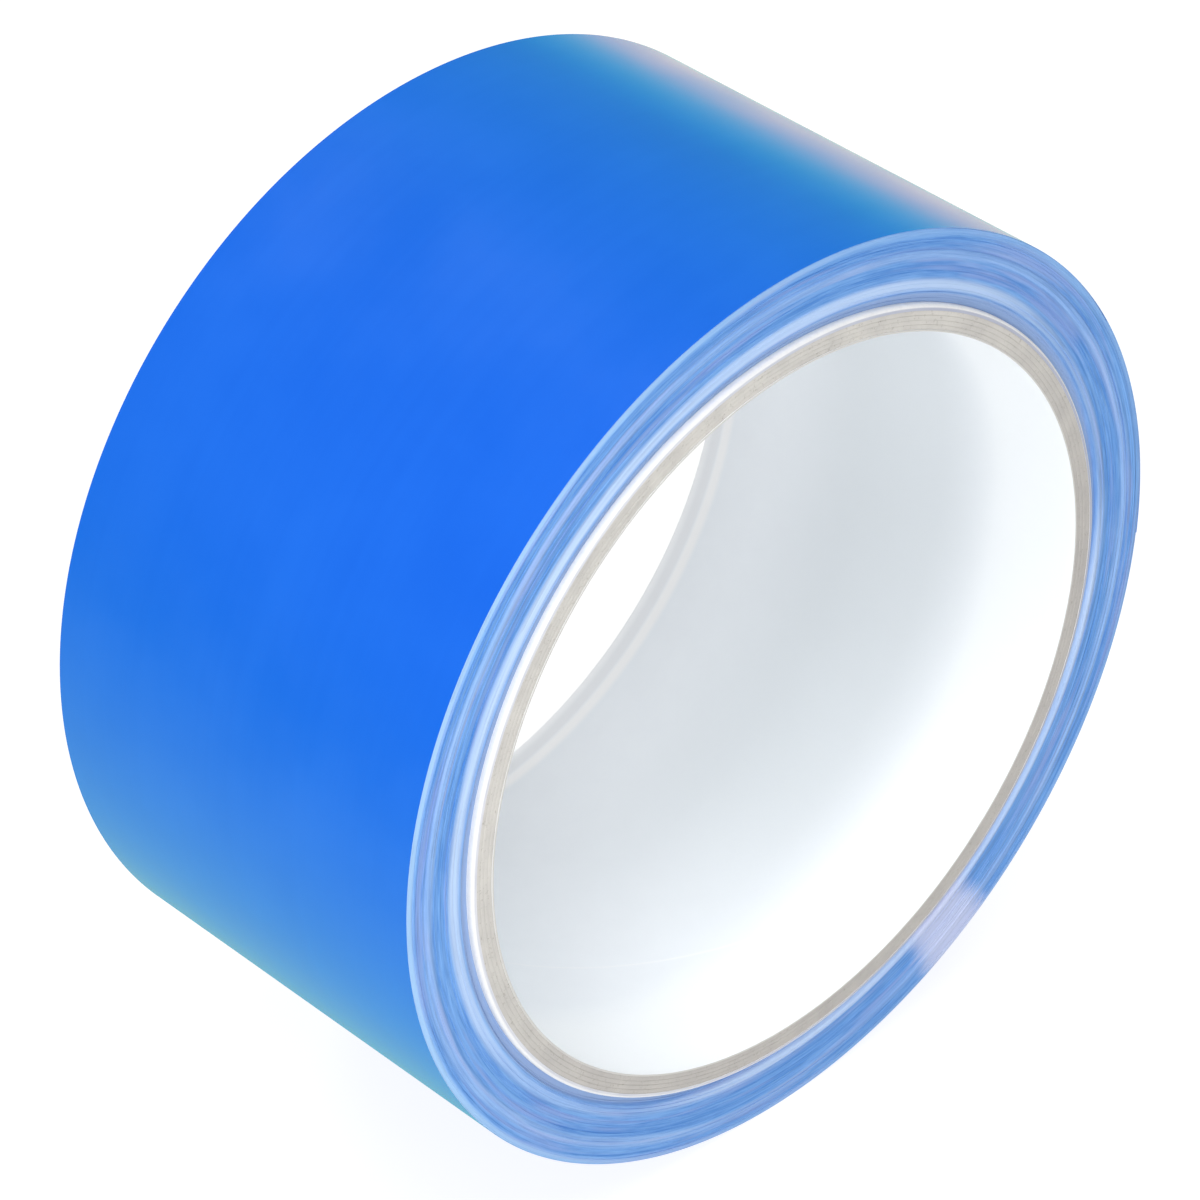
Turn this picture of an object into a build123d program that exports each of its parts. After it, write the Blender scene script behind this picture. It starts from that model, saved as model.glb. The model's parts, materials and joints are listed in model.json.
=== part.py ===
from build123d import *
import math
import os

# A roll of self-adhesive film tape, standing on its rim. The bore runs along Y, the front face looks along -Y,
# and the origin is the middle of the bore. All sizes are in millimetres and all angles in degrees.

# Core: white paper, then greyboard plies, then a white paper wrap, all wound into one tube
bore_radius = 38.1
liner_thickness = 0.20
ply_count = 4
ply_thickness = 0.4625
wrap_thickness = 0.55
core_overhang = 0.6

# Tape: one strip, wound tight
tape_width = 48.0
roll_radius = 48.0
film_thickness = 0.05
layer_gap = 0.02

# Side face of the winding: how far the strip wanders towards the front, against its radius.
# The strip keeps its width, so what stands proud at the front lies deep by as much at the back.
valley_end, valley_wander = 41.50, 0.00
ridge_start, ridge_wander = 41.65, 0.32
body_start, body_wander = 42.90, 0.10
streak_start, streak_end, streak_wander = 45.30, 45.75, 0.18
streak_ramp = 0.12
lip_start, lip_wander = 47.05, 0.16
rim_wander = 0.00

# Free end of the tape: the last stretch of the strip, not pressed down. It bends at evenly spaced lines.
root_angle = 28.0
strip_count = 4
strip_angle = 8.0
free_end_bend_radius = 49.3
hinge_gap = 0.10
tip_gap = 0.50

# Worked out from the sizes above
core_length = tape_width + 2 * core_overhang
board_radius = bore_radius + liner_thickness
wrap_radius = board_radius + ply_count * ply_thickness
winding_radius = wrap_radius + wrap_thickness
turn_inner_radius = roll_radius - film_thickness
turn_middle_radius = roll_radius - film_thickness / 2
free_end_centre = -(free_end_bend_radius - turn_middle_radius)


def tube(inner_radius, outer_radius, length):
    """A plain tube round the Y axis, centred on the origin."""
    wall = Circle(outer_radius) - Circle(inner_radius)
    return extrude(Plane.XZ * wall, length / 2, both=True)


def film_band(middle_radius, start_angle, end_angle):
    """A stretch of the strip, bent round the Y axis from one angle to the other, counted from +X towards +Z.
    Both ends are rounded over the film's thickness."""
    half = film_thickness / 2
    round_angle = math.degrees(half / middle_radius)
    start, end = start_angle + round_angle, end_angle - round_angle
    size = end - start
    inner, outer = middle_radius - half, middle_radius + half
    outer_face = CenterArc((0, 0), outer, start, size)
    inner_face = CenterArc((0, 0), inner, start, size)
    start_end = ThreePointArc(inner_face @ 0, point_at(middle_radius, start_angle), outer_face @ 0)
    cut_end = ThreePointArc(inner_face @ 1, point_at(middle_radius, end_angle), outer_face @ 1)
    section = make_face([outer_face, inner_face, start_end, cut_end])
    return extrude(Plane.XZ * section, tape_width / 2, both=True)


def point_at(radius, angle):
    """A point of the XZ plane, from its distance to the axis and its angle from +X towards +Z."""
    return (radius * math.cos(math.radians(angle)), radius * math.sin(math.radians(angle)))


def wound_tape():
    """Every turn below the last one, as one solid ring with the stepped side faces of a real winding."""
    wander = [
        (winding_radius, valley_wander),
        (valley_end, valley_wander),
        (ridge_start, ridge_wander),
        (body_start, body_wander),
        (streak_start - streak_ramp, body_wander),
        (streak_start, streak_wander),
        (streak_end, streak_wander),
        (streak_end + streak_ramp, body_wander),
        (lip_start - streak_ramp, body_wander),
        (lip_start, lip_wander),
        (turn_inner_radius - layer_gap, rim_wander),
    ]
    front = [(radius, -tape_width / 2 - shift) for radius, shift in wander]
    back = [(radius, tape_width / 2 - shift) for radius, shift in reversed(wander)]
    outline = Polyline(*front, *back, close=True)
    return revolve(make_face(outline), Axis.Y)


def outer_turn():
    """The last turn that is still stuck down, from the free end's root round to just past its cut edge."""
    hinge_side = math.degrees(hinge_gap / 2 / turn_middle_radius)
    cut_side = math.degrees(tip_gap / turn_middle_radius)
    first = root_angle + hinge_side
    last = 360 + root_angle - strip_count * strip_angle - cut_side
    return film_band(turn_middle_radius, first, last)


def end_strip(number):
    """One stretch of the free end, from its hinge line to the next one. The free end leaves the roll at a
    tangent and bends a little less than the roll does, so its cut edge stands clear of the turn below."""
    first = free_end_angle(number)
    last = free_end_angle(number + 1)
    gap = math.degrees(hinge_gap / 2 / free_end_bend_radius)
    band = film_band(free_end_bend_radius, last + gap, first - gap)
    centre = point_at(free_end_centre, root_angle)
    return Pos(centre[0], 0, centre[1]) * band


def free_end_angle(number):
    """The angle of a hinge line about the free end's own centre, which counts from 1 at the root."""
    arc_length = (number - 1) * math.radians(strip_angle) * turn_middle_radius
    return root_angle - math.degrees(arc_length / free_end_bend_radius)


def hinge_line(number):
    """Where a hinge line crosses the XZ plane."""
    x, z = point_at(free_end_bend_radius, free_end_angle(number))
    centre_x, centre_z = point_at(free_end_centre, root_angle)
    return (x + centre_x, z + centre_z)


parts = {"core_liner": tube(bore_radius, board_radius, core_length)}
for ply in range(ply_count):
    ply_inner = board_radius + ply * ply_thickness
    parts[f"core_board_ply_{ply + 1}"] = tube(ply_inner, ply_inner + ply_thickness, core_length)
parts["core_wrap"] = tube(wrap_radius, winding_radius, core_length)
parts["wound_tape"] = wound_tape()
parts["outer_turn"] = outer_turn()
for strip in range(1, strip_count + 1):
    parts[f"free_end_strip_{strip}"] = end_strip(strip)

os.makedirs("parts", exist_ok=True)
for name, shape in parts.items():
    export_step(shape, f"parts/{name}.step")

for strip in range(1, strip_count + 1):
    x, z = hinge_line(strip)
    print(f"hinge line {strip}: x {x:.4f}, z {z:.4f}")
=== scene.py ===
import json
import math

import bmesh
import bpy
import numpy as np
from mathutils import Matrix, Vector


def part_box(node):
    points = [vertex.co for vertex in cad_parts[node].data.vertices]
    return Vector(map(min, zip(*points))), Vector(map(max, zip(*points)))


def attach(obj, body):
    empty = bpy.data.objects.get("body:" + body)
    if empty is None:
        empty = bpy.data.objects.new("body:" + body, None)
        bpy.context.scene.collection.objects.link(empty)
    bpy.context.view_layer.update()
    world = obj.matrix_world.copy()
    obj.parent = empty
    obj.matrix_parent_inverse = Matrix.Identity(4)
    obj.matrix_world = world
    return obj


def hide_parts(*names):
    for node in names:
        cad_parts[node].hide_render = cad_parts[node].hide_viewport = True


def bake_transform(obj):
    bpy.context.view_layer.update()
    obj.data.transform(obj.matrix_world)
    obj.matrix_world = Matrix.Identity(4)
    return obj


# A roll of glossy blue film tape that stands on its rim. The bore runs along Y, the front face looks along
# -Y and the origin is the middle of the bore. Angles are counted round the bore from +X towards +Z, in
# degrees, and depths along Y. Values in capitals are chosen here. The others come from the frame or are
# worked out.
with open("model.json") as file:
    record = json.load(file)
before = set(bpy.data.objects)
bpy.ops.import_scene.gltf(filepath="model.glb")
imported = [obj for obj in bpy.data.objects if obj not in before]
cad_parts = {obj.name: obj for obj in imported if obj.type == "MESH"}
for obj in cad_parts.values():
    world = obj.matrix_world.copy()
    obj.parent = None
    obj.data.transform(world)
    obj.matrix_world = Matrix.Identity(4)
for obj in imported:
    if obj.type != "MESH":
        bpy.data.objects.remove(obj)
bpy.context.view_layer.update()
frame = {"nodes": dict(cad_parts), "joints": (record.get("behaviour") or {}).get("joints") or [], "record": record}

MM = 0.001

# Sizes that the frame gives, in metres
bore = next(m for m in frame["record"]["mounts"] if m["name"] == "core_bore")["dims"]
bore_radius = bore["r_mm"] * MM
core_half_length = bore["length_mm"] / 2 * MM
liner_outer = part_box("core_liner")[1].x
board_plies = sorted(n for n in frame["nodes"] if n.startswith("core_board_ply"))
wrap_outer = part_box("core_wrap")[1].x
roll_radius = round(-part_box("outer_turn")[0].x, 4)
tape_half_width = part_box("outer_turn")[1].y
hinges = [Vector(joint["pos_m"]) for joint in frame["joints"]]
root_angle = math.degrees(math.atan2(hinges[0].z, hinges[0].x))

# The strip of tape. Its last turn sinks by TURN_DROP between its start and SUNK_ANGLE, and ends under its
# start. The winding below steps down there and has risen to meet the last turn again by RISEN_ANGLE. Both
# angles count from the start. Each stretch of the free end covers STRIP_ANGLE of the roll.
FILM_THICKNESS = 0.05 * MM
TURN_DROP = 0.053 * MM
TURN_CLEARANCE = 0.006 * MM
OVERLAP_ANGLE = 2.0
RISEN_ANGLE = 14.0
SUNK_ANGLE = 330.0
RIPPLE = 0.006 * MM
STRIP_ANGLE = 8.0
FREE_END_LOOSENESS = 0.3 * MM
film_middle_radius = roll_radius - FILM_THICKNESS / 2
winding_radius = roll_radius - FILM_THICKNESS - TURN_DROP - TURN_CLEARANCE
strip_length = math.radians(STRIP_ANGLE) * film_middle_radius
free_end_bend_radius = film_middle_radius + FREE_END_LOOSENESS

# Side face of the winding, in millimetres: how far the strip wanders towards the front, against its radius,
# and how the groups of turns that show stand out. Only the groups' widths are relative.
WANDER_RADII = [40.70, 41.50, 41.65, 42.90, 45.18, 45.30, 45.75, 45.87, 46.93, 47.05, 47.93]
WANDER = [-0.15, -0.05, 0.28, 0.10, 0.10, 0.18, 0.18, 0.10, 0.10, 0.16, 0.00]
TURN_GROUPS = 46
GROUP_WIDTHS = 0.5, 1.5
GROUP_HEIGHT = 0.030
GROUP_WAVE = 0.022
GROUP_BEVEL = 0.012
FACE_SET_BACK = 0.03

# The liner's spiral seam, with its twist in degrees per millimetre, and the crease near its back end.
# Columns of points lie close to the seam, and the evenly spaced ones keep SEAM_MARGIN away. The lap starts
# SEAM_STEP behind the seam and fades out.
LINER_ROUNDING = 0.05 * MM
SEAM_ANGLE = -121.2
SEAM_TWIST = -3.1
SEAM_COLUMNS = (-0.30, -0.16, -0.08, 0.0, 0.08, 0.16, 0.30)
SEAM_MARGIN = 0.8
SEAM_STEP = 0.04
SEAM_LAP = 0.02 * MM
LAP_FADE_ANGLE = 6.0
CREASE_DEPTH = 21.8 * MM
CREASE_WIDTH = 0.35 * MM
CREASE_HEIGHT = 0.03 * MM
LOOSE_DEPTH = 0.08 * MM

# The cut ends of the greyboard plies, each with the notch of its own joint, and the worn ends of the wrap.
# What lies within an END of the core's own end is uneven. The walls have points only within a REACH of it.
PLY_SET_BACK = 0.02 * MM
PLY_ROUNDING = 0.07 * MM
PLY_END = 0.06 * MM
PLY_REACH = 0.5 * MM
PLY_SINK = 0.02 * MM
PLY_WAVE = 0.015 * MM
PLY_TOOTH = 0.010 * MM
FIRST_NOTCH_ANGLE = -150.0
NOTCH_ANGLE_STEP = 97.0
NOTCH_WIDTH_ANGLE = 0.35
NOTCH_DEPTH = 0.12 * MM
WRAP_END = 0.5 * MM
WRAP_REACH = 1.5 * MM
WORN_RADIUS = 0.42 * MM
WORN_WAVE = 0.012 * MM

# How finely the meshes are divided
ANGLE_STEPS = 480
LAST_TURN_STEPS = 720
STRETCH_STEPS = 14
ACROSS_POINTS = 33
ROUNDING_STEPS = 3
WORN_POINTS = 8
LINER_SPACING = 1.2 * MM
PLY_SPACING = 0.09 * MM
WRAP_SPACING = 0.25 * MM

# What the random draws start from. A ply's own number is added to its two.
FRONT_SEED, BACK_SEED = 5, 6
PLY_WAVE_SEED, PLY_TOOTH_SEED = 3, 40
WRAP_SEED = 11
RIPPLE_SEED, SLANTED_RIPPLE_SEED = 21, 22

# How bright the room is, by the height of the direction that one looks in, from -1 straight down to 1
# straight up, and the glow of its bright corner, from the corner's edge to its middle
ROOM_TONES = [(-0.98, 0.60), (-0.75, 0.48), (-0.15, 0.08), (0.30, 0.20), (0.98, 0.20)]
CORNER_DIRECTION = (0.76, 0.59, -0.28)
CORNER_EDGE = 0.875
CORNER_GLOW = [
    (0.00, (0.00, 0.00, 0.00)),
    (0.10, (0.00, 0.25, 0.20)),
    (0.60, (0.12, 0.57, 0.46)),
    (0.90, (0.60, 0.70, 0.64)),
    (1.00, (1.35, 0.70, 0.62)),
]
BACKDROP = (0.94, 0.94, 0.94, 1.0)

FLOOR_HALF_SIZE = 6.0
FLOOR_GREYS = (0.20, 0.20, 0.20, 1), (0.22, 0.22, 0.22, 1)
FLOOR_GLOW = 0.88

# Soft square lights: name, direction that it shines from, distance and side in metres, and power in watts
LIGHTS = [
    ("key", (-0.24, -0.25, 0.94), 2.5, 1.5, 29.0),
    ("near", (-0.65, -0.63, 0.42), 0.42, 0.25, 0.75),
    ("back", (0.12, 0.90, 0.42), 2.5, 0.8, 30.0),
]

# The camera, in front of the roll, above it and to its left
CAMERA_PLACE = (-0.293644, -0.306612, 0.304940)
CAMERA_LOOK = (0.55994, 0.58805, -0.58366)
CAMERA_LENS = 164.79
CAMERA_SENSOR = 36.0


# ---------------------------------------------------------------- meshes


def surface(name, points, close_rows=True):
    """A mesh over a grid of points, shape (rows, columns, 3). The columns close into a loop, and so do the
    rows unless they are left open."""
    rows, columns = points.shape[:2]
    index = np.arange(rows * columns).reshape(rows, columns)
    index = np.hstack([index, index[:, :1]])
    if close_rows:
        index = np.vstack([index, index[:1]])
    quads = np.stack([index[:-1, :-1], index[1:, :-1], index[1:, 1:], index[:-1, 1:]], axis=-1).reshape(-1, 4)
    mesh = bpy.data.meshes.new(name)
    mesh.from_pydata(points.reshape(-1, 3).tolist(), [], quads.tolist())
    mesh.shade_smooth()
    piece = bpy.data.objects.new(name, mesh)
    bpy.context.scene.collection.objects.link(piece)
    return piece


def face_outwards(piece, caps=()):
    """Adds faces over these loops of vertices, and turns every face of the closed mesh to look outwards."""
    shape = bmesh.new()
    shape.from_mesh(piece.data)
    shape.verts.ensure_lookup_table()
    for loop in caps:
        shape.faces.new([shape.verts[i] for i in loop])
    bmesh.ops.recalc_face_normals(shape, faces=shape.faces)
    shape.to_mesh(piece.data)
    shape.free()
    return piece


def on_roll(radius, y, angle):
    """Points at these distances from the bore's axis, depths and angles, which may be arrays."""
    radius, y, angle = np.broadcast_arrays(radius, y, np.radians(angle))
    return np.stack([radius * np.cos(angle), y, radius * np.sin(angle)], axis=-1)


def rounded(corners, rounding):
    """A closed outline of (radius, y) corners in metres, each cut back and rounded by the same amount."""
    outline = []
    for i, corner in enumerate(corners):
        before = Vector(corners[i - 1]) - Vector(corner)
        after = Vector(corners[(i + 1) % len(corners)]) - Vector(corner)
        start = Vector(corner) + before.normalized() * rounding
        end = Vector(corner) + after.normalized() * rounding
        for k in range(ROUNDING_STEPS + 1):
            t = k / ROUNDING_STEPS
            outline.append((1 - t) ** 2 * start + 2 * t * (1 - t) * Vector(corner) + t * t * end)
    return outline


def densify(outline, longest):
    """Adds points along the long straight runs of a closed outline."""
    dense = []
    for i, point in enumerate(outline):
        following = outline[(i + 1) % len(outline)]
        count = max(1, math.ceil((Vector(following) - Vector(point)).length / longest))
        dense += [Vector(point).lerp(Vector(following), k / count) for k in range(count)]
    return dense


def spread(start, end, steps):
    """Evenly spaced values from start up to but not including end."""
    return list(np.linspace(start, end, steps, endpoint=False))


def revolve(name, outline, angles, shift, twist=0.0):
    """An outline of (radius, y) turned round the bore's axis. shift(radius, y, angle) says how far each
    point moves out and along, and twist turns the points by this many degrees per metre of depth."""
    radius = np.array([p[0] for p in outline])[:, None]
    y = np.array([p[1] for p in outline])[:, None]
    angle = np.array(angles)[None, :] + twist * y
    radius, y = np.broadcast_to(radius, angle.shape), np.broadcast_to(y, angle.shape)
    move_out, move_along = shift(radius, y, angle)
    return face_outwards(surface(name, on_roll(radius + move_out, y + move_along, angle)))


def wavy(angle, seed, waves):
    """A smooth random wave round the roll, about one high, made of waves that each fit round it a whole
    number of times and grow weaker in their order."""
    draw = np.random.default_rng(seed)
    fall, usual_height = 0.75, 1.5
    total = np.zeros_like(np.asarray(angle, float))
    for order, wave in enumerate(waves):
        total += fall**order * np.sin(np.radians(angle) * wave + draw.uniform(0, 2 * math.pi))
    return total / usual_height


def sharpen(piece, degrees):
    """Keeps edges that turn by more than this sharp."""
    piece.data.set_sharp_from_angle(angle=math.radians(degrees))
    return piece


def set_material(piece, *materials):
    for material in materials:
        piece.data.materials.append(material)


# ---------------------------------------------------------------- materials


class Recipe:
    """Builds one node material: each call adds a node, sets its inputs, and gives back its first output."""

    def __init__(self, name):
        self.material = bpy.data.materials.new(name)
        self.material.use_nodes = True
        self.tree = self.material.node_tree
        self.tree.nodes.clear()
        self.shader = self.tree.nodes.new("ShaderNodeBsdfPrincipled")
        output = self.tree.nodes.new("ShaderNodeOutputMaterial")
        self.tree.links.new(self.shader.outputs[0], output.inputs["Surface"])

    def node(self, kind, inputs, **settings):
        node = self.tree.nodes.new(kind)
        for key, value in settings.items():
            setattr(node, key, value)
        for key, value in inputs.items():
            self.feed(node.inputs[key], value)
        return node

    def feed(self, socket, value):
        if isinstance(value, bpy.types.NodeSocket):
            self.tree.links.new(value, socket)
        else:
            socket.default_value = value

    def math(self, operation, *values, clamp=False):
        node = self.node("ShaderNodeMath", dict(enumerate(values)), operation=operation, use_clamp=clamp)
        return node.outputs[0]

    def vector(self, operation, inputs):
        return self.node("ShaderNodeVectorMath", inputs, operation=operation)

    def remap(self, value, low, high, to_low, to_high, smooth=False):
        kind = "SMOOTHSTEP" if smooth else "LINEAR"
        inputs = {"Value": value, "From Min": low, "From Max": high, "To Min": to_low, "To Max": to_high}
        return self.node("ShaderNodeMapRange", inputs, interpolation_type=kind).outputs[0]

    def band(self, value, start, full, fading, end):
        """One inside a band of values and zero outside it, with soft sides."""
        rise = self.remap(value, start, full, 0.0, 1.0, smooth=True)
        return self.math("MULTIPLY", rise, self.remap(value, fading, end, 1.0, 0.0, smooth=True))

    def mix(self, factor, first, second):
        node = self.node("ShaderNodeMix", {}, data_type="RGBA")
        self.feed(node.inputs[0], factor)
        self.feed(node.inputs[6], first)
        self.feed(node.inputs[7], second)
        return node.outputs[2]

    def noise(self, vector, scale, detail=3.0, roughness=0.5):
        inputs = {"Vector": vector, "Scale": scale, "Detail": detail, "Roughness": roughness}
        return self.node("ShaderNodeTexNoise", inputs).outputs[0]

    def endwise(self, low, high):
        """One on faces that look along the bore, zero on walls, with the change between two cosines."""
        normal = self.tree.nodes.new("ShaderNodeNewGeometry").outputs["Normal"]
        along = self.math("ABSOLUTE", self.node("ShaderNodeSeparateXYZ", {0: normal}).outputs["Y"])
        return self.remap(along, low, high, 0.0, 1.0, smooth=True)

    def position(self):
        """The point's place on the piece at rest, in millimetres."""
        coordinates = self.tree.nodes.new("ShaderNodeTexCoord").outputs["Object"]
        return self.vector("SCALE", {0: coordinates, "Scale": 1 / MM}).outputs[0]

    def round_axis(self, position):
        """The distance to the bore's axis, the depth, and the direction across the bore, from a position."""
        parts = self.node("ShaderNodeSeparateXYZ", {0: position}).outputs
        flat = self.node("ShaderNodeCombineXYZ", {"X": parts["X"], "Y": parts["Z"]}).outputs[0]
        radius = self.vector("LENGTH", {0: flat}).outputs["Value"]
        direction = self.vector("NORMALIZE", {0: flat}).outputs[0]
        return radius, parts["Y"], direction

    def towards(self, direction, angle):
        """How far a direction across the bore points towards this angle, from -1 to 1."""
        side = (math.cos(math.radians(angle)), math.sin(math.radians(angle)), 0.0)
        return self.vector("DOT_PRODUCT", {0: direction, 1: side}).outputs["Value"]

    def angle(self, direction):
        """The angle of a direction across the bore."""
        parts = self.node("ShaderNodeSeparateXYZ", {0: direction}).outputs
        return self.math("DEGREES", self.math("ARCTAN2", parts["Y"], parts["X"]))

    def along_arc(self, direction, stretch, third):
        """A noise vector that changes slowly round the roll and quickly with the third value."""
        slow = self.vector("SCALE", {0: direction, "Scale": stretch}).outputs[0]
        lift = self.node("ShaderNodeCombineXYZ", {"Z": third}).outputs[0]
        return self.vector("ADD", {0: slow, 1: lift}).outputs[0]

    def bump(self, height, strength, distance):
        inputs = {"Height": height, "Strength": strength, "Distance": distance}
        self.feed(self.shader.inputs["Normal"], self.node("ShaderNodeBump", inputs).outputs[0])

    def finish(self, **sockets):
        for name, value in sockets.items():
            self.feed(self.shader.inputs[name.replace("_", " ")], value)
        return self.material


def srgb(red, green, blue):
    """A colour given as it looks on a screen, from 0 to 255, as the linear value that a shader takes."""
    def linear(c):
        c /= 255
        return c / 12.92 if c <= 0.04045 else ((c + 0.055) / 1.055) ** 2.4
    return (linear(red), linear(green), linear(blue), 1.0)


# Colours. Where a name has two, the material varies between them.
FILM_BLUES = srgb(18, 92, 236), srgb(24, 99, 241)
CUT_BLUE = srgb(138, 182, 250)
SHEEN_GREEN = (0.0, 0.62, 0.28, 1.0)
GLUE_BLUES = srgb(46, 112, 214), srgb(88, 148, 232)
BODY_BLUES = srgb(79, 142, 219), srgb(121, 175, 239)
LILAC_BLUE = srgb(146, 168, 226)
PALE_BLUE = srgb(196, 220, 253)
VALLEY_BLUE = srgb(158, 182, 222)
# Partly the outer turns' own paler colour, partly a painted highlight
LIP_PALE_LIT_BLUE = srgb(176, 216, 255)
# Painted highlight: the radial gleam on the front face
GLEAM_BLUE = srgb(212, 217, 245)
# The board's greys, in painted shade and in painted light
BOARD_SHADED_LIT_GREYS = srgb(196, 192, 187), srgb(216, 213, 207)
BOARD_CLOUD = srgb(160, 157, 158)
BOARD_FIBRE = srgb(156, 151, 142)
LINER_WHITES = srgb(243, 247, 251), srgb(232, 236, 242)
# Painted light near the bore's front end
LINER_FRONT_LIGHT = srgb(250, 253, 255)
# Painted shade along the middle of the bore
LINER_SHADE = srgb(224, 229, 233)
# Painted highlight along the seam
LINER_SEAM_HIGHLIGHT = srgb(249, 251, 253)
LINER_LOOSE = srgb(240, 241, 243)
# Painted highlight along the crease
LINER_CREASE_HIGHLIGHT = srgb(255, 255, 255)
LINER_RIM = srgb(253, 254, 255)
LINER_CUT = srgb(214, 212, 208)
WRAP_WHITES = srgb(248, 248, 247), srgb(232, 232, 232)
# The wrap's cut ends, lit on one side and with painted shade on the other
WRAP_CUTS_LIT_SHADED = srgb(230, 231, 236), srgb(188, 192, 208)
WRAP_TURN = srgb(168, 174, 196)

# The angles that the uneven tones round the roll point towards: the side of the inner pale band and of the board's
# painted light, the side of the lip's painted highlight, and the sides of the painted shade in the liner and on
# the wrap's cut ends
BAND_AND_LIGHT_ANGLE = 125.0
LIP_LIGHT_ANGLE = 165.0
SHADE_ANGLE = 5.0
WRAP_SHADE_ANGLE = 0.0

# A painted highlight on the front face, the radial gleam of light off the concentric turns: where it lies, and how
# far from there it starts to fade and ends
GLEAM_ANGLE = -59.5
GLEAM_FADING = 2.6
GLEAM_END = 7.3


def film_material(name, roughness=0.2, cut_angle=None):
    """Smooth coloured film: a saturated blue that barely varies, under a clear gloss with faint drawing
    lines. Film that is cut off at an angle is paler there, where the blade has stretched it."""
    recipe = Recipe(name)
    _, depth, direction = recipe.round_axis(recipe.position())
    bands = recipe.noise(recipe.along_arc(direction, 0.6, depth), scale=0.9, detail=4.0)
    patches = recipe.noise(recipe.position(), scale=0.09)
    tone = recipe.math("ADD", recipe.math("MULTIPLY", bands, 0.25), recipe.math("MULTIPLY", patches, 0.75))
    colour = recipe.mix(recipe.remap(tone, 0.25, 0.75, 0.0, 1.0, smooth=True), *FILM_BLUES)
    if cut_angle is not None:
        from_cut = recipe.math("SUBTRACT", recipe.angle(direction), cut_angle)
        ragged = recipe.remap(recipe.noise(recipe.position(), scale=1.5), 0.3, 0.7, 0.2, 0.6)
        stretched = recipe.math("MULTIPLY", recipe.remap(from_cut, 0.0, ragged, 1.0, 0.0, smooth=True), 0.75)
        colour = recipe.mix(stretched, colour, CUT_BLUE)
    lines = recipe.noise(recipe.along_arc(direction, 1.2, depth), scale=5.0, detail=2.0)
    recipe.bump(lines, strength=0.04, distance=0.02 * MM)
    gloss = recipe.remap(patches, 0.3, 0.7, roughness - 0.03, roughness + 0.05)
    return recipe.finish(
        Base_Color=colour, Roughness=gloss, IOR=1.5,
        Sheen_Weight=0.6, Sheen_Roughness=0.6, Sheen_Tint=SHEEN_GREEN,
    )


def edge_material(name):
    """The cut edges of the wound turns: pale bands of glue and stretched film between deeper blue ones, with
    painted highlights on the outermost turns and across the front face.
    """
    recipe = Recipe(name)
    radius, depth, direction = recipe.round_axis(recipe.position())
    fine = recipe.noise(recipe.along_arc(direction, 1.6, radius), scale=7.0, detail=4.0, roughness=0.6)
    coarse = recipe.noise(recipe.along_arc(direction, 1.1, radius), scale=1.6)
    streaks = recipe.math("ADD", recipe.math("MULTIPLY", fine, 0.6), recipe.math("MULTIPLY", coarse, 0.4))
    body = recipe.mix(recipe.remap(streaks, 0.36, 0.64, 0.0, 1.0, smooth=True), *BODY_BLUES)
    lilac = recipe.noise(recipe.along_arc(direction, 2.2, radius), scale=1.1, detail=2.0)
    body = recipe.mix(recipe.remap(lilac, 0.5, 0.68, 0.0, 0.6, smooth=True), body, LILAC_BLUE)

    # The innermost pale band isn't concentric with the bore: it runs closer to the core on one side,
    # and it fades where it crosses over
    towards = recipe.towards(direction, BAND_AND_LIGHT_ANGLE)
    away = recipe.math("SUBTRACT", 1.0, towards)
    shift = recipe.math("MULTIPLY", recipe.math("MULTIPLY", towards, 0.4), away)
    across = recipe.math("SUBTRACT", radius, shift)
    faded = recipe.math("MULTIPLY", recipe.band(towards, -0.7, -0.4, -0.1, 0.4), -0.6)
    inner_band = recipe.band(across, 41.6, 42.2, 42.6, 43.3)
    inner_band = recipe.math("MULTIPLY", inner_band, recipe.math("ADD", faded, 1.0))

    # A fainter streak wanders round the middle of the ring
    wander = recipe.remap(recipe.noise(direction, scale=1.3, detail=1.0), 0.3, 0.7, -0.4, 0.4)
    streak = recipe.band(recipe.math("ADD", radius, wander), 44.9, 45.4, 45.9, 46.5)
    paleness = recipe.math("MAXIMUM", inner_band, recipe.math("MULTIPLY", streak, 0.32))
    varied = recipe.math("MULTIPLY", paleness, recipe.remap(coarse, 0.35, 0.65, 0.75, 1.0), clamp=True)
    colour = recipe.mix(varied, body, PALE_BLUE)
    colour = recipe.mix(recipe.remap(across, 41.5, 41.9, 0.8, 0.0, smooth=True), colour, VALLEY_BLUE)

    # The outermost turns stand free and are paler, partly in their own colour and partly as a painted highlight
    # where light falls on their edges, most on the left
    lip_lit_side = recipe.remap(recipe.towards(direction, LIP_LIGHT_ANGLE), 0.0, 0.95, 0.3, 0.8, smooth=True)
    lip = recipe.math("MULTIPLY", recipe.remap(radius, 47.1, 47.6, 0.0, 1.0, smooth=True), lip_lit_side)
    colour = recipe.mix(lip, colour, LIP_PALE_LIT_BLUE)

    # A painted highlight across the turns of the front face, low on the right: the radial gleam of light off the
    # concentric turns
    ragged = recipe.remap(fine, 0.3, 0.7, -0.002, 0.002)
    near_gleam = recipe.math("ADD", recipe.towards(direction, GLEAM_ANGLE), ragged)
    gleam_end, gleam_fading = math.cos(math.radians(GLEAM_END)), math.cos(math.radians(GLEAM_FADING))
    gleam = recipe.remap(near_gleam, gleam_end, gleam_fading, 0.0, 0.78, smooth=True)
    gleam = recipe.math("MULTIPLY", gleam, recipe.remap(depth, -1.0, 1.0, 1.0, 0.0))
    colour = recipe.mix(gleam, colour, GLEAM_BLUE)
    recipe.bump(fine, strength=0.6, distance=0.05 * MM)
    return recipe.finish(Base_Color=colour, Roughness=recipe.remap(fine, 0.3, 0.7, 0.5, 0.4))


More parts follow.
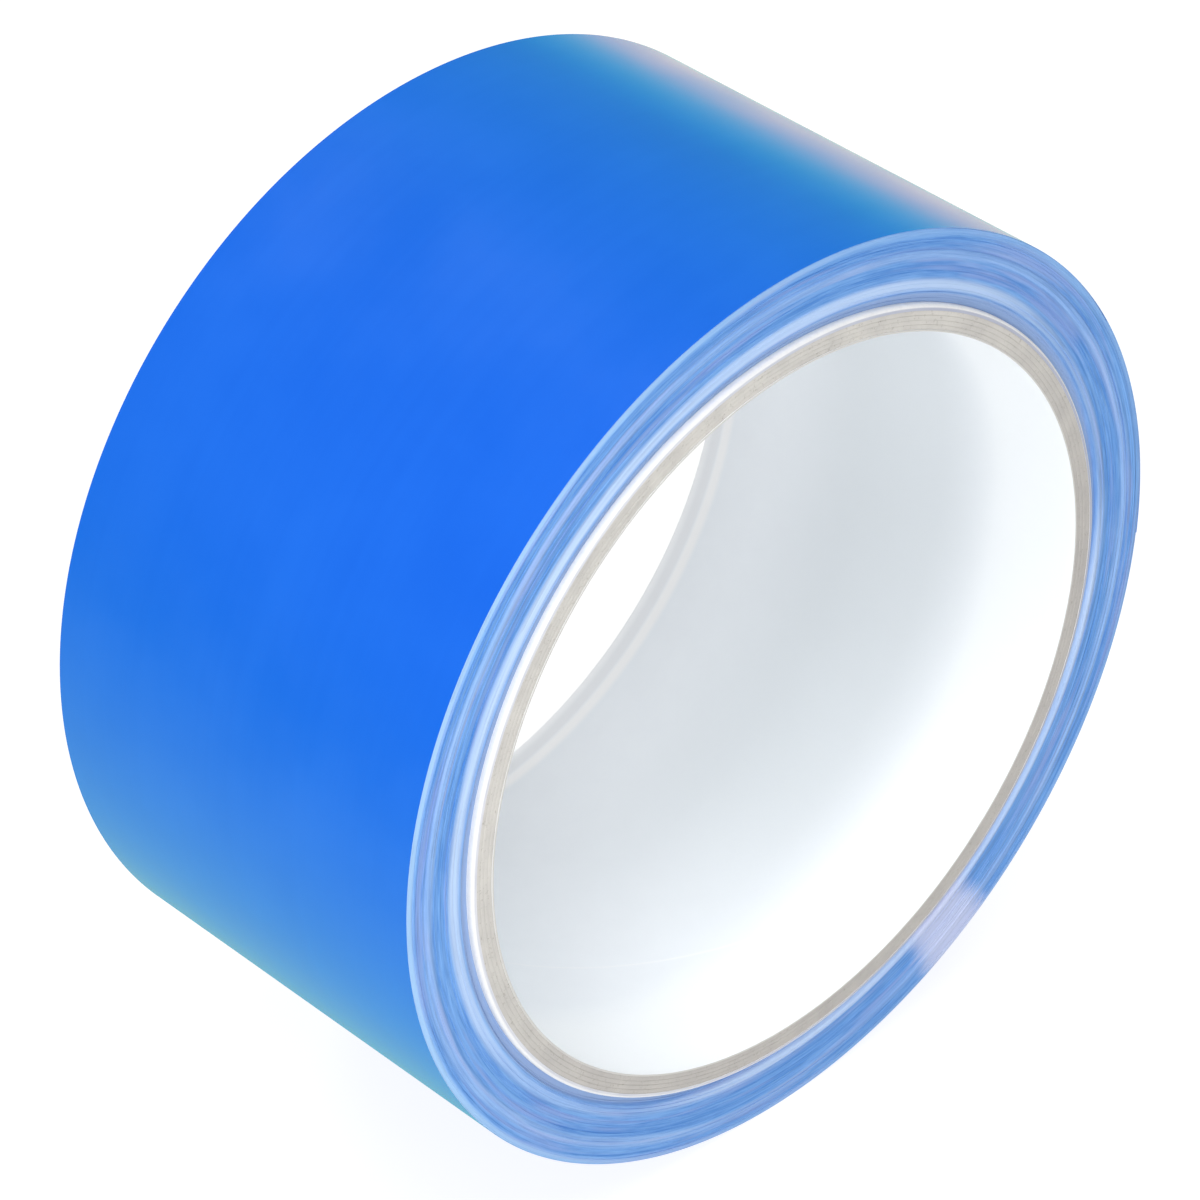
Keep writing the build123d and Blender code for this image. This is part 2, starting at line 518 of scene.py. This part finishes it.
def glue_material(name):
    """The glued side of the film: the same blue, paler and dull, with a faint grain."""
    recipe = Recipe(name)
    grain = recipe.noise(recipe.position(), scale=3.0, detail=4.0, roughness=0.6)
    colour = recipe.mix(grain, *GLUE_BLUES)
    recipe.bump(grain, strength=0.3, distance=0.02 * MM)
    return recipe.finish(Base_Color=colour, Roughness=0.42, IOR=1.47)


def greyboard_material(name):
    """Cut board of recycled paper: a grey with painted light, warmer and paler on the left where the light falls,
    with cloudy patches, short fibres and a soft tooth."""
    recipe = Recipe(name)
    position = recipe.position()
    _, _, direction = recipe.round_axis(position)
    # Painted light: the board is paler on the side that faces the light
    side = recipe.remap(recipe.towards(direction, BAND_AND_LIGHT_ANGLE), -0.7, 0.7, 0.0, 1.0, smooth=True)
    board = recipe.mix(side, *BOARD_SHADED_LIT_GREYS)
    cloud = recipe.noise(position, scale=0.35, detail=4.0)
    fibres = recipe.noise(position, scale=3.2, detail=5.0, roughness=0.7)
    toned = recipe.mix(recipe.remap(cloud, 0.3, 0.7, 0.0, 0.3), board, BOARD_CLOUD)
    colour = recipe.mix(recipe.remap(fibres, 0.56, 0.72, 0.0, 0.7, smooth=True), toned, BOARD_FIBRE)
    recipe.bump(fibres, strength=0.35, distance=0.03 * MM)
    return recipe.finish(Base_Color=colour, Roughness=0.85, IOR=1.45)


def liner_material(name):
    """The smooth white paper of the bore, with painted light and shade: painted light makes it brightest near its
    front end, and painted shade makes it greyer along the middle on the right. A painted highlight makes a faint
    pale line along its seam and a pale line on the crease near the back end, and there is a duller band behind the
    crease, where the paper has come loose."""
    recipe = Recipe(name)
    position = recipe.position()
    _, depth, direction = recipe.round_axis(position)
    cloud = recipe.noise(position, scale=0.35, detail=4.0)
    fibres = recipe.noise(position, scale=2.2, detail=5.0, roughness=0.7)
    face = recipe.mix(recipe.remap(cloud, 0.3, 0.7, 0.0, 0.15), *LINER_WHITES)
    # Painted light: paler near the front end, where the light falls into the bore
    face = recipe.mix(recipe.remap(depth, -16.0, -10.0, 1.0, 0.0, smooth=True), face, LINER_FRONT_LIGHT)

    # Painted shade along the middle of the bore on the right. It starts nearer to the front in the upper half of
    # the bore
    upwards = recipe.math("MAXIMUM", recipe.towards(direction, 90.0), 0.0)
    middle = recipe.band(
        recipe.math("ADD", depth, recipe.math("MULTIPLY", upwards, 3.5)), -16.5, -6.0, 3.0, 18.0
    )
    shade_side = recipe.remap(recipe.towards(direction, SHADE_ANGLE), -0.3, 0.5, 0.0, 1.0, smooth=True)
    face = recipe.mix(recipe.math("MULTIPLY", middle, shade_side), face, LINER_SHADE)

    # A painted highlight: a faint pale line along the seam, where its step catches the light
    off_seam = recipe.math("SUBTRACT", recipe.angle(direction), recipe.math("MULTIPLY", depth, SEAM_TWIST))
    off_seam = recipe.math("WRAP", recipe.math("SUBTRACT", off_seam, SEAM_ANGLE), 180.0, -180.0)
    seam_highlight = recipe.math("MULTIPLY", recipe.band(off_seam, -0.7, -0.2, 0.2, 0.7), 0.6)
    face = recipe.mix(seam_highlight, face, LINER_SEAM_HIGHLIGHT)

    crease = CREASE_DEPTH / MM
    rim = core_half_length / MM
    loose = recipe.remap(depth, crease + 0.5, crease + 1.1, 0.0, 0.8, smooth=True)
    face = recipe.mix(loose, face, LINER_LOOSE)
    # A painted highlight: a pale line along the crease near the back end
    crease_highlight = recipe.band(depth, crease - 0.8, crease, crease + 0.4, crease + 1.0)
    face = recipe.mix(crease_highlight, face, LINER_CREASE_HIGHLIGHT)
    face = recipe.mix(recipe.remap(depth, rim - 1.1, rim - 0.2, 0.0, 0.9, smooth=True), face, LINER_RIM)
    colour = recipe.mix(recipe.endwise(0.2, 0.6), face, LINER_CUT)
    recipe.bump(fibres, strength=0.35, distance=0.03 * MM)
    return recipe.finish(Base_Color=colour, Roughness=0.5, IOR=1.45)


def wrap_material(name):
    """White paper with duller cut ends that show the faint edges of its turns, and painted shade that makes the
    ends darker and more lilac on the right.
    """
    recipe = Recipe(name)
    position = recipe.position()
    radius, _, direction = recipe.round_axis(position)
    fibres = recipe.noise(position, scale=2.6, detail=5.0, roughness=0.7)
    face = recipe.mix(recipe.remap(fibres, 0.45, 0.7, 0.0, 0.4), *WRAP_WHITES)
    # Painted shade: the cut ends darker and more lilac on the right
    side = recipe.remap(recipe.towards(direction, WRAP_SHADE_ANGLE), -0.5, 0.5, 0.0, 1.0, smooth=True)
    cut = recipe.mix(side, *WRAP_CUTS_LIT_SHADED)
    turns = recipe.noise(recipe.along_arc(direction, 0.8, radius), scale=14.0, detail=2.0)
    cut = recipe.mix(recipe.remap(turns, 0.35, 0.65, 0.0, 0.4), cut, WRAP_TURN)
    colour = recipe.mix(recipe.endwise(0.88, 0.99), face, cut)
    recipe.bump(fibres, strength=0.35, distance=0.03 * MM)
    return recipe.finish(Base_Color=colour, Roughness=0.6, IOR=1.45)


# ---------------------------------------------------------------- the core


def tube_outline(inner, outer, half_length, rounding):
    """The closed outline of a tube's wall: along its inside, over the back end and back along its outside."""
    corners = [(inner, -half_length), (inner, half_length), (outer, half_length), (outer, -half_length)]
    return rounded(corners, rounding)


def near_ends(outline, reach):
    """The points of an outline that lie within this reach of either end of the core."""
    return [point for point in outline if abs(point[1]) > core_half_length - reach]


def make_liner(material):
    """The white paper that lines the bore, with the step where its spiral winding meets itself and a crease
    near its back end."""
    outline = densify(tube_outline(bore_radius, liner_outer, core_half_length, LINER_ROUNDING), LINER_SPACING)
    twist = SEAM_TWIST / MM
    beside_seam = [SEAM_ANGLE + d for d in SEAM_COLUMNS]
    others = spread(SEAM_ANGLE + SEAM_MARGIN, SEAM_ANGLE + 360 - SEAM_MARGIN, ANGLE_STEPS)

    def shape(radius, y, angle):
        behind_seam = (SEAM_ANGLE - (angle - twist * y)) % 360
        lap = np.where(behind_seam > SEAM_STEP, np.exp(-behind_seam / LAP_FADE_ANGLE), 0.0) * SEAM_LAP
        crease = np.exp(-(((y - CREASE_DEPTH) / CREASE_WIDTH) ** 2)) * CREASE_HEIGHT
        loose = np.clip((y - CREASE_DEPTH) / MM, 0, 1) * LOOSE_DEPTH
        inner = radius < (bore_radius + liner_outer) / 2
        return np.where(inner, loose - lap - crease, 0.0), np.zeros_like(y)

    piece = revolve("core_liner_paper", outline, beside_seam + others, shape, twist)
    set_material(sharpen(piece, degrees=50), material)
    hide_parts("core_liner")
    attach(piece, "roll")


def make_ply(number, material):
    """One greyboard ply. Its cut ends stand a little uneven, and have the notch of its own spiral joint."""
    node = board_plies[number]
    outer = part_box(node)[1].x
    inner = liner_outer if number == 0 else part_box(board_plies[number - 1])[1].x
    wall = tube_outline(inner, outer, core_half_length - PLY_SET_BACK, PLY_ROUNDING)
    outline = near_ends(densify(wall, PLY_SPACING), PLY_REACH)
    notch_angle = FIRST_NOTCH_ANGLE + NOTCH_ANGLE_STEP * number

    def rough_end(radius, y, angle):
        draw = np.random.default_rng(number + PLY_TOOTH_SEED)
        tooth = draw.uniform(-1, 1, radius.shape) * PLY_TOOTH
        level = -PLY_SINK - PLY_WAVE * wavy(angle, number + PLY_WAVE_SEED, (1, 4, 11, 23))
        off_notch = (angle - notch_angle + 180) % 360 - 180
        notch = np.exp(-((off_notch / NOTCH_WIDTH_ANGLE) ** 2)) * NOTCH_DEPTH
        end = np.abs(y) > core_half_length - PLY_END
        return np.zeros_like(y), np.where(end, np.sign(y) * (level + tooth - notch), 0.0)

    piece = revolve(f"core_greyboard_{number + 1}", outline, spread(0, 360, ANGLE_STEPS), rough_end)
    set_material(sharpen(piece, degrees=60), material)
    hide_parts(node)
    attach(piece, "roll")


def make_wrap(material):
    """The white paper round the board. Its ends stand proud of the tape and are worn soft."""
    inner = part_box(board_plies[-1])[1].x
    straight = core_half_length - WRAP_REACH
    inner_edge = [(inner, straight), (inner, core_half_length)]
    r, y = wrap_outer - WORN_RADIUS, core_half_length - WORN_RADIUS
    quarter = np.linspace(0, math.pi / 2, WORN_POINTS)
    worn_edge = [(r + WORN_RADIUS * math.sin(t), y + WORN_RADIUS * math.cos(t)) for t in quarter]
    back = inner_edge + worn_edge + [(wrap_outer, straight)]
    front = [(r, -y) for r, y in reversed(back)]
    outline = near_ends(densify(front + back, WRAP_SPACING), WRAP_REACH + WRAP_SPACING / 2)

    def worn_end(radius, y, angle):
        # The waves are sunk into the ends
        end = np.abs(y) > core_half_length - WRAP_END
        dip = (wavy(angle, WRAP_SEED, (2, 5, 9, 17)) - 1.7) * WORN_WAVE
        return np.zeros_like(y), np.where(end, np.sign(y) * dip, 0.0)

    piece = revolve("core_white_wrap", outline, spread(0, 360, ANGLE_STEPS), worn_end)
    set_material(sharpen(piece, degrees=60), material)
    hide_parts("core_wrap")
    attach(piece, "roll")


# ---------------------------------------------------------------- the tape


def turn_groups(seed):
    """The inner and outer radii of the groups of turns that show in a side face, and how far each stands
    out, in millimetres."""
    draw = np.random.default_rng(seed)
    widths = draw.uniform(*GROUP_WIDTHS, TURN_GROUPS)
    inmost = WANDER_RADII[0]
    ends = inmost + np.cumsum(widths) / widths.sum() * (winding_radius / MM - inmost)
    starts = np.concatenate([[inmost], ends[:-1]])
    heights = draw.uniform(-1, 1, TURN_GROUPS) * GROUP_HEIGHT
    return zip(starts, ends, heights)


def side_face(seed, sign):
    """The front (sign -1) or back (sign 1) side face of the winding: the radius, depth and angle of its
    points, in rows from the core outwards."""
    angle = np.array(spread(0, 360, ANGLE_STEPS))[None, :]
    rows, levels = [], []
    for number, (start, end, height) in enumerate(turn_groups(seed)):
        level = height + GROUP_WAVE * wavy(angle[0], 100 * seed + number, (1, 2, 4, 7, 12))
        rows += [start + GROUP_BEVEL, end - GROUP_BEVEL]
        levels += [level, level]
    radius = np.array(rows)[:, None] * np.ones_like(angle)
    wander = np.interp(radius, WANDER_RADII, WANDER)
    y = sign * tape_half_width / MM - wander + sign * (np.array(levels) - FACE_SET_BACK)
    return radius * MM, y * MM, angle


def make_winding(edges, film):
    """All the turns below the last one, as one ring with finely stepped side faces. Its outside backs the
    last turn, which sinks by one thickness as it goes round."""
    front_radius, front_y, angle = side_face(FRONT_SEED, -1)
    back_radius, back_y, _ = side_face(BACK_SEED, 1)
    radius = np.vstack([front_radius, back_radius[::-1]])
    y = np.vstack([front_y, back_y[::-1]])
    past_root = (angle - root_angle) % 360
    risen = 1 - RISEN_ANGLE / SUNK_ANGLE
    lift = np.interp(past_root, [0, 2 * OVERLAP_ANGLE, RISEN_ANGLE, SUNK_ANGLE, 360], [0, 0, risen, 0, 0])
    radius = radius + lift * TURN_DROP * np.clip((radius - winding_radius) / MM + 1, 0, 1)
    piece = surface("tape_winding", on_roll(radius, y, angle))
    set_material(sharpen(piece, degrees=40), edges, film)
    outer_row = len(front_radius) - 1
    for polygon in piece.data.polygons[outer_row * ANGLE_STEPS:(outer_row + 1) * ANGLE_STEPS]:
        polygon.material_index = 1
    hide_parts("wound_tape")
    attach(piece, "roll")


def film_sheet(name, centre_line, materials, waves=None):
    """A closed stretch of the strip. centre_line gives the middle of the film and its way outwards, row by
    row, in the XZ plane. waves(row, across) lifts the points of a row. The materials are for the outside,
    the glued inside and the rim."""
    across = tape_half_width * np.sin(np.linspace(-math.pi / 2, math.pi / 2, ACROSS_POINTS))
    rows = []
    for row, (middle, outwards) in enumerate(centre_line):
        lift = waves(row, across) if waves else np.zeros_like(across)
        outer, inner = lift + FILM_THICKNESS / 2, lift - FILM_THICKNESS / 2
        height = np.concatenate([outer, inner[::-1]])
        x, z = middle[0] + outwards[0] * height, middle[1] + outwards[1] * height
        rows.append(np.stack([x, np.concatenate([across, across[::-1]]), z], axis=-1))
    piece = surface(name, np.array(rows), close_rows=False)
    face_outwards(piece, end_caps(len(rows)))
    paint_film(piece, *materials)
    return sharpen(piece, degrees=40)


def end_caps(rows):
    """The loops of vertices that close the two cut ends of a film sheet, between its two faces."""
    caps = []
    for first in (0, (rows - 1) * ACROSS_POINTS * 2):
        last = first + 2 * ACROSS_POINTS - 1
        caps += [(first + k, first + k + 1, last - 1 - k, last - k) for k in range(ACROSS_POINTS - 1)]
    return caps


def paint_film(piece, film, glue, edges):
    """Gloss on the outer face, glue on the inner one, and the pale edge colour round the rim."""
    set_material(piece, film, glue, edges)
    for polygon in piece.data.polygons:
        inner = [vertex % (2 * ACROSS_POINTS) >= ACROSS_POINTS for vertex in polygon.vertices]
        polygon.material_index = 0 if not any(inner) else 1 if all(inner) else 2


def make_outer_turn(film, glue, edges):
    """The last full turn, which sinks by one thickness as it goes round and ends under its own start."""
    line = []
    for angle in np.linspace(root_angle, root_angle + 360 + OVERLAP_ANGLE, LAST_TURN_STEPS + 1):
        radius = film_middle_radius - TURN_DROP * min(1, (angle - root_angle) / SUNK_ANGLE)
        outwards = (math.cos(math.radians(angle)), math.sin(math.radians(angle)))
        line.append(((radius * outwards[0], radius * outwards[1]), outwards))

    def ripples(row, across):
        # The ripples are sunk into the turn, and fade out towards both ends of it
        angle = root_angle + (360 + OVERLAP_ANGLE) * row / LAST_TURN_STEPS
        strength = min(1.0, row / 12, (LAST_TURN_STEPS - row) / 60)
        wide = wavy(angle, RIPPLE_SEED, (3, 7, 13))
        slanted = wavy(angle + across / MM * 3, SLANTED_RIPPLE_SEED, (4, 9))
        return -RIPPLE * strength * (0.6 * wide + 0.4 * slanted + 1.2)

    piece = film_sheet("tape_outer_turn", line, (film, glue, edges), ripples)
    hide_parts("outer_turn")
    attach(piece, "roll")


def free_end_point(stretches):
    """The middle of the film this many stretches along the free end from its root, and its way outwards."""
    centre = Vector((math.cos(math.radians(root_angle)), math.sin(math.radians(root_angle))))
    centre *= film_middle_radius - free_end_bend_radius
    angle = math.radians(root_angle) - stretches * strip_length / free_end_bend_radius
    outwards = Vector((math.cos(angle), math.sin(angle)))
    return centre + outwards * free_end_bend_radius, outwards


def make_free_end(film, glue, edges):
    """The free end, split halfway between its hinges, so that each stretch crosses one hinge line. The first
    stretch starts on its hinge line, where the film leaves the roll, and the last one runs on to the cut edge."""
    for number in range(len(hinges)):
        first = max(0, number - 0.5)
        last = number + 1 if number == len(hinges) - 1 else number + 0.5
        line = [free_end_point(place) for place in np.linspace(first, last, STRETCH_STEPS + 1)]
        piece = film_sheet(f"tape_free_end_{number + 1}", line, (film, glue, edges))
        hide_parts(f"free_end_strip_{number + 1}")
        start, _ = free_end_point(number - 0.5)
        end, _ = free_end_point(number + 0.5)
        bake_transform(piece)


# ---------------------------------------------------------------- studio


def make_floor():
    """A pale floor under the roll, wide enough to fill every view."""
    size = FLOOR_HALF_SIZE
    mesh = bpy.data.meshes.new("floor")
    corners = [(-size, -size, 0), (size, -size, 0), (size, size, 0), (-size, size, 0)]
    mesh.from_pydata(corners, [], [(0, 1, 2, 3)])
    floor = bpy.data.objects.new("floor", mesh)
    floor.location.z = -roll_radius
    bpy.context.scene.collection.objects.link(floor)
    recipe = Recipe("pale_floor")
    colour = recipe.mix(recipe.noise(recipe.position(), scale=0.02), *FLOOR_GREYS)
    set_material(floor, recipe.finish(
        Base_Color=colour, Roughness=0.9, Emission_Color=(1, 1, 1, 1), Emission_Strength=FLOOR_GLOW))
    floor.visible_glossy = False


def make_light(name, direction, distance, size, power):
    """A square soft light that looks at the roll from a direction."""
    lamp = bpy.data.lights.new(name, "AREA")
    lamp.shape, lamp.size, lamp.energy = "SQUARE", size, power
    light = bpy.data.objects.new(name, lamp)
    back = Vector(direction).normalized()
    light.location = back * distance
    light.rotation_mode = "QUATERNION"
    light.rotation_quaternion = back.to_track_quat("Z", "Y")
    light.visible_camera = False
    bpy.context.scene.collection.objects.link(light)


def colour_ramp(tree, factor, stops):
    """A ramp through (place, colour) pairs."""
    ramp = tree.nodes.new("ShaderNodeValToRGB")
    elements = ramp.color_ramp.elements
    while len(elements) < len(stops):
        elements.new(1.0)
    for element, (place, colour) in zip(elements, stops):
        element.position = place
        element.color = (*colour, 1.0)
    tree.links.new(factor, ramp.inputs[0])
    return ramp


def make_world():
    """The room round the roll: dim at eye level and brighter below, with a warm bright corner that has a
    bluish green fringe. What shows behind the roll is plain."""
    world = bpy.data.worlds.new("studio")
    world.use_nodes = True
    tree = world.node_tree
    direction = tree.nodes.new("ShaderNodeTexCoord").outputs["Generated"]
    height = tree.nodes.new("ShaderNodeSeparateXYZ")
    tree.links.new(direction, height.inputs[0])
    above = tree.nodes.new("ShaderNodeMapRange")
    above.inputs["From Min"].default_value = -1.0
    tree.links.new(height.outputs["Z"], above.inputs["Value"])
    tones = [((place + 1) / 2, (brightness,) * 3) for place, brightness in ROOM_TONES]
    tone = colour_ramp(tree, above.outputs[0], tones)
    tone.color_ramp.interpolation = "EASE"

    towards = tree.nodes.new("ShaderNodeVectorMath")
    towards.operation = "DOT_PRODUCT"
    towards.inputs[1].default_value = Vector(CORNER_DIRECTION).normalized()
    tree.links.new(direction, towards.inputs[0])
    glow = tree.nodes.new("ShaderNodeMapRange")
    glow.interpolation_type = "SMOOTHSTEP"
    glow.inputs["From Min"].default_value = CORNER_EDGE
    tree.links.new(towards.outputs["Value"], glow.inputs["Value"])
    both = tree.nodes.new("ShaderNodeMix")
    both.data_type, both.blend_type = "RGBA", "ADD"
    both.inputs[0].default_value = 1.0
    tree.links.new(tone.outputs[0], both.inputs[6])
    tree.links.new(colour_ramp(tree, glow.outputs[0], CORNER_GLOW).outputs[0], both.inputs[7])

    seen = tree.nodes.new("ShaderNodeMix")
    seen.data_type = "RGBA"
    tree.links.new(tree.nodes.new("ShaderNodeLightPath").outputs["Is Camera Ray"], seen.inputs[0])
    tree.links.new(both.outputs[2], seen.inputs[6])
    seen.inputs[7].default_value = BACKDROP
    tree.links.new(seen.outputs[2], tree.nodes["Background"].inputs["Color"])
    bpy.context.scene.world = world


def make_camera():
    """Looks down at the front face from the left, through a long lens."""
    lens = bpy.data.cameras.new("camera")
    lens.lens, lens.sensor_width = CAMERA_LENS, CAMERA_SENSOR
    lens.clip_start, lens.clip_end = 0.01, 50
    camera = bpy.data.objects.new("camera", lens)
    camera.location = CAMERA_PLACE
    camera.rotation_mode = "QUATERNION"
    camera.rotation_quaternion = Vector(CAMERA_LOOK).to_track_quat("-Z", "Y")
    bpy.context.scene.collection.objects.link(camera)
    bpy.context.scene.camera = camera


cut_edge, _ = free_end_point(len(hinges))
cut_angle = math.degrees(math.atan2(cut_edge.y, cut_edge.x))
film = film_material("glossy_blue_film")
cut_film = film_material("cut_blue_film", cut_angle=cut_angle)
edges = edge_material("tape_edges")
glue = glue_material("tape_glue")
greyboard = greyboard_material("greyboard_end")

make_liner(liner_material("white_liner_paper"))
for number in range(len(board_plies)):
    make_ply(number, greyboard)
make_wrap(wrap_material("white_wrap_paper"))
make_winding(edges, film)
make_outer_turn(film, glue, edges)
make_free_end(cut_film, glue, edges)

make_floor()
make_world()
for light in LIGHTS:
    make_light(*light)
make_camera()
bpy.context.scene.view_settings.view_transform = "Standard"
